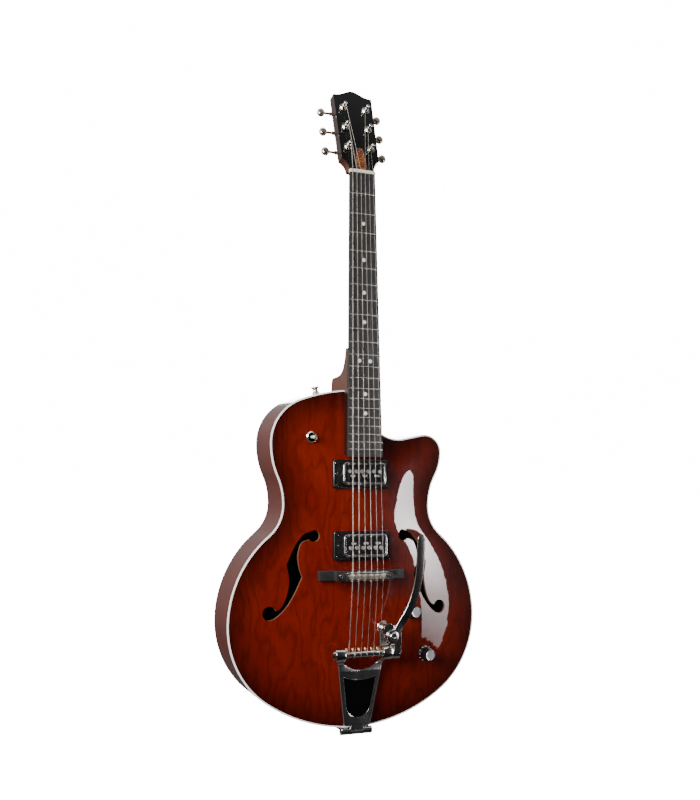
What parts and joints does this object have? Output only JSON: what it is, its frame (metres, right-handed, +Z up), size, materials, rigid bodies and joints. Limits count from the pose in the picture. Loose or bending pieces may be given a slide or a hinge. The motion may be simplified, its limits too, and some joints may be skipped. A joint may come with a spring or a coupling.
{
  "type": "archtop guitar",
  "caption": "Hollow-body electric archtop guitar with single rounded cutaway, f-holes, floating bridge, two pickups and tail-hinged vibrato.",
  "frame": {"origin": "seat of the tail strap button, on the centre line at half the rim depth", "axes": "+Z up along the body and neck, +X to the cutaway (treble) side, front faces -Y"},
  "size_m": [0.404, 0.1483, 1.0243],
  "materials": {
    "top_wood": "gloss",
    "body_wood": "gloss",
    "inner_wood": "matte",
    "binding": "gloss",
    "neck_wood": "satin",
    "black_lacquer": "gloss",
    "ebony": "satin",
    "fret_metal": "polished",
    "pearl": "gloss",
    "bone": "satin",
    "steel": "satin",
    "tortoise": "gloss",
    "nickel": "polished",
    "string_steel": "satin",
    "black_plastic": "satin",
    "knob_black": "gloss",
    "ivory_plastic": "gloss",
    "polished_aluminium": "polished",
    "brass": "polished",
    "spring_steel": "satin"
  },
  "bodies": {
    "root": {"back_plate": "body_wood", "bass_side": "body_wood", "bridge_base": "ebony", "bridge_studs": "steel", "end_blocks": "inner_wood", "fret_markers": "pearl", "fretboard": "ebony", "frets": "fret_metal", "headstock_veneer": "black_lacquer", "hinge_bracket": "polished_aluminium", "hinge_pin": "steel", "linings": "inner_wood", "neck": "neck_wood", "nut": "bone", "output_jack": "nickel", "pickup_covers": "nickel", "pickup_inserts": "black_plastic", "pickup_rings": "black_plastic", "pole_screws": "steel", "potentiometers": "steel", "shaft_bearings": "steel", "small_screws": "steel", "strap_buttons": "nickel", "strings": "string_steel", "tailpiece_frame": "polished_aluminium", "toggle_nut": "nickel", "toggle_switch": "black_plastic", "tone_bars": "inner_wood", "top_binding": "binding", "top_plate": "top_wood", "treble_side": "body_wood", "truss_rod": "steel", "truss_rod_cover": "tortoise", "tuner_bushings": "nickel", "tuner_housings": "nickel", "vibrato_spring": "spring_steel"},
    "tuner_key_1": {"tuner_key_1": "nickel"},
    "tuner_post_1": {"tuner_post_1": "nickel"},
    "tuner_key_2": {"tuner_key_2": "nickel"},
    "tuner_post_2": {"tuner_post_2": "nickel"},
    "tuner_key_3": {"tuner_key_3": "nickel"},
    "tuner_post_3": {"tuner_post_3": "nickel"},
    "tuner_key_4": {"tuner_key_4": "nickel"},
    "tuner_post_4": {"tuner_post_4": "nickel"},
    "tuner_key_5": {"tuner_key_5": "nickel"},
    "tuner_post_5": {"tuner_post_5": "nickel"},
    "tuner_key_6": {"tuner_key_6": "nickel"},
    "tuner_post_6": {"tuner_post_6": "nickel"},
    "vibrato_rocker": {"vibrato_shaft": "nickel", "ball_ends": "brass", "arm_bracket": "nickel", "arm_pivot_bolt": "nickel"},
    "vibrato_arm": {"vibrato_arm": "nickel"},
    "volume_knob": {"volume_knob": "knob_black"},
    "tone_knob": {"tone_knob": "knob_black"},
    "toggle_lever": {"toggle_lever": "ivory_plastic"},
    "bridge_bar": {"bridge_bar": "nickel", "saddles": "nickel"},
    "thumbwheel_bass": {"thumbwheel_bass": "nickel"},
    "thumbwheel_treble": {"thumbwheel_treble": "nickel"}
  },
  "joints": [
    {"name": "tuner_key_1_turn", "type": "hinge", "parent": "root", "child": "tuner_key_1", "pos_m": [-0.04, -0.00073, 0.89837], "axis": [-1, 0, 0], "continuous": true},
    {"name": "tuner_post_1_turn", "type": "hinge", "parent": "root", "child": "tuner_post_1", "pos_m": [-0.02, -0.02317, 0.90378], "axis": [0, -0.9482, 0.3178], "continuous": true},
    {"name": "tuner_key_2_turn", "type": "hinge", "parent": "root", "child": "tuner_key_2", "pos_m": [-0.04, 0.01167, 0.93535], "axis": [-1, 0, 0], "continuous": true},
    {"name": "tuner_post_2_turn", "type": "hinge", "parent": "root", "child": "tuner_post_2", "pos_m": [-0.02, -0.01077, 0.94076], "axis": [0, -0.9482, 0.3178], "continuous": true},
    {"name": "tuner_key_3_turn", "type": "hinge", "parent": "root", "child": "tuner_key_3", "pos_m": [-0.04, 0.02406, 0.97232], "axis": [-1, 0, 0], "continuous": true},
    {"name": "tuner_post_3_turn", "type": "hinge", "parent": "root", "child": "tuner_post_3", "pos_m": [-0.02, 0.00162, 0.97774], "axis": [0, -0.9482, 0.3178], "continuous": true},
    {"name": "tuner_key_4_turn", "type": "hinge", "parent": "root", "child": "tuner_key_4", "pos_m": [0.04, 0.02406, 0.97232], "axis": [1, 0, 0], "continuous": true},
    {"name": "tuner_post_4_turn", "type": "hinge", "parent": "root", "child": "tuner_post_4", "pos_m": [0.02, 0.00162, 0.97774], "axis": [0, -0.9482, 0.3178], "continuous": true},
    {"name": "tuner_key_5_turn", "type": "hinge", "parent": "root", "child": "tuner_key_5", "pos_m": [0.04, 0.01167, 0.93535], "axis": [1, 0, 0], "continuous": true},
    {"name": "tuner_post_5_turn", "type": "hinge", "parent": "root", "child": "tuner_post_5", "pos_m": [0.02, -0.01077, 0.94076], "axis": [0, -0.9482, 0.3178], "continuous": true},
    {"name": "tuner_key_6_turn", "type": "hinge", "parent": "root", "child": "tuner_key_6", "pos_m": [0.04, -0.00073, 0.89837], "axis": [1, 0, 0], "continuous": true},
    {"name": "tuner_post_6_turn", "type": "hinge", "parent": "root", "child": "tuner_post_6", "pos_m": [0.02, -0.02317, 0.90378], "axis": [0, -0.9482, 0.3178], "continuous": true},
    {"name": "vibrato_rock", "type": "hinge", "parent": "root", "child": "vibrato_rocker", "pos_m": [0, -0.067, 0.112], "axis": [-1, 0, 0], "range_deg": [-4, 8], "stiffness_Nm_per_rad": 10, "deforming": ["vibrato_spring", "strings"]},
    {"name": "arm_swing", "type": "hinge", "parent": "vibrato_rocker", "child": "vibrato_arm", "pos_m": [0.0423, -0.0797, 0.1373], "axis": [0, 1, 0], "range_deg": [-12, 95]},
    {"name": "volume_turn", "type": "hinge", "parent": "root", "child": "volume_knob", "pos_m": [0.113, -0.05, 0.103], "axis": [0, -1, 0], "range_deg": [-150, 150]},
    {"name": "tone_turn", "type": "hinge", "parent": "root", "child": "tone_knob", "pos_m": [0.086, -0.05, 0.169], "axis": [0, -1, 0], "range_deg": [-150, 150]},
    {"name": "selector_tip", "type": "hinge", "parent": "root", "child": "toggle_lever", "pos_m": [-0.0793, -0.03909, 0.4326], "axis": [1, 0, 0], "range_deg": [-13, 13]},
    {"name": "bridge_height", "type": "slide", "parent": "root", "child": "bridge_bar", "axis": [0, -1, 0], "range_m": [-0.003, 0.003]},
    {"name": "thumbwheel_bass_turn", "type": "hinge", "parent": "bridge_bar", "child": "thumbwheel_bass", "pos_m": [-0.0387, -0.0767, 0.2266], "axis": [0, -1, 0], "range_deg": [-1550, 1550]},
    {"name": "thumbwheel_treble_turn", "type": "hinge", "parent": "bridge_bar", "child": "thumbwheel_treble", "pos_m": [0.0387, -0.0767, 0.2266], "axis": [0, -1, 0], "range_deg": [-1550, 1550]}
  ],
  "couplings": [
    {"joint": "tuner_post_1_turn", "follows": "tuner_key_1_turn", "ratio": 0.071429},
    {"joint": "tuner_post_2_turn", "follows": "tuner_key_2_turn", "ratio": 0.071429},
    {"joint": "tuner_post_3_turn", "follows": "tuner_key_3_turn", "ratio": 0.071429},
    {"joint": "tuner_post_4_turn", "follows": "tuner_key_4_turn", "ratio": 0.071429},
    {"joint": "tuner_post_5_turn", "follows": "tuner_key_5_turn", "ratio": 0.071429},
    {"joint": "tuner_post_6_turn", "follows": "tuner_key_6_turn", "ratio": 0.071429},
    {"joint": "thumbwheel_bass_turn", "follows": "bridge_height", "rad_per_m": 8976},
    {"joint": "thumbwheel_treble_turn", "follows": "bridge_height", "rad_per_m": 8976}
  ]
}
